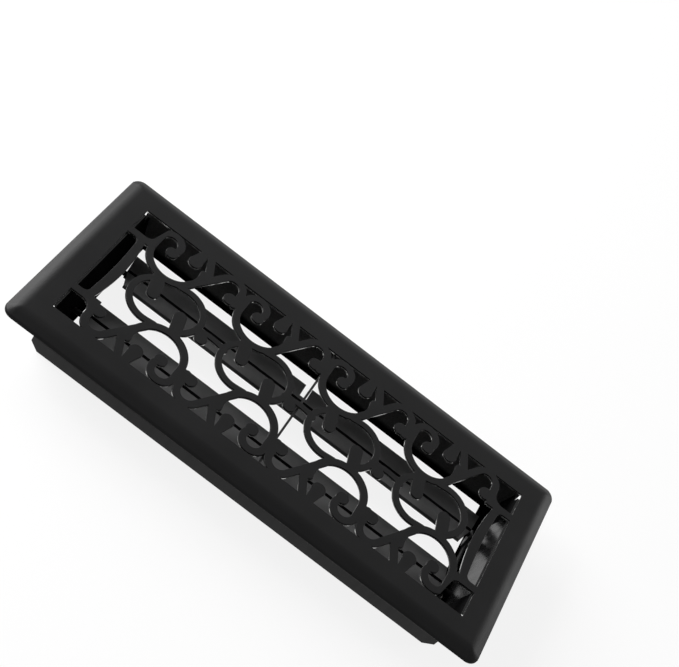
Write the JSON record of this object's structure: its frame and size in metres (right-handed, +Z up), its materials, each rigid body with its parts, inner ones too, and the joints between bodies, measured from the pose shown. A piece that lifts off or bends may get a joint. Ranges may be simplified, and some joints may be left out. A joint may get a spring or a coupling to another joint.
{
  "type": "floor register",
  "caption": "Black sheet-steel floor register: a pierced scrollwork face plate over a shallow damper box whose linked blades turn on rods to open or close the air path.",
  "frame": {"origin": "middle of the footprint, level with the lower edges of the damper box", "axes": "+X along the length towards the linkage end, +Y across towards the far edge, +Z up out of the face"},
  "size_m": [0.286, 0.127, 0.031],
  "materials": {
    "black_paint": "satin",
    "dark_steel": "dark drawn"
  },
  "bodies": {
    "housing": {"face_plate": "black_paint", "near_side_wall": "black_paint", "far_side_wall": "black_paint", "left_end_wall": "black_paint", "right_end_wall": "black_paint", "bridge_bar": "black_paint"},
    "far_damper": {"far_blade": "black_paint", "far_rod": "dark_steel", "far_left_cap": "dark_steel", "far_right_cap": "dark_steel", "far_crank": "black_paint", "far_crank_pin": "dark_steel"},
    "near_damper": {"near_blade": "black_paint", "near_rod": "dark_steel", "near_left_cap": "dark_steel", "near_right_cap": "dark_steel", "near_crank": "black_paint", "near_crank_pin": "dark_steel"},
    "link": {"link_bar": "black_paint"}
  },
  "joints": [
    {"name": "far_blade_turn", "type": "hinge", "parent": "housing", "child": "far_damper", "pos_m": [0, 0.0202, 0.0079], "axis": [1, 0, 0], "range_deg": [0, 49]},
    {"name": "near_blade_turn", "type": "hinge", "parent": "housing", "child": "near_damper", "pos_m": [0, -0.0202, 0.0079], "axis": [1, 0, 0], "range_deg": [0, 49]},
    {"name": "link_swing", "type": "hinge", "parent": "far_damper", "child": "link", "pos_m": [0.1166, 0.01819, 0.00354], "axis": [1, 0, 0], "range_deg": [-49, 0]}
  ],
  "couplings": [
    {"joint": "near_blade_turn", "follows": "far_blade_turn", "ratio": 1},
    {"joint": "link_swing", "follows": "far_blade_turn", "ratio": -1}
  ]
}
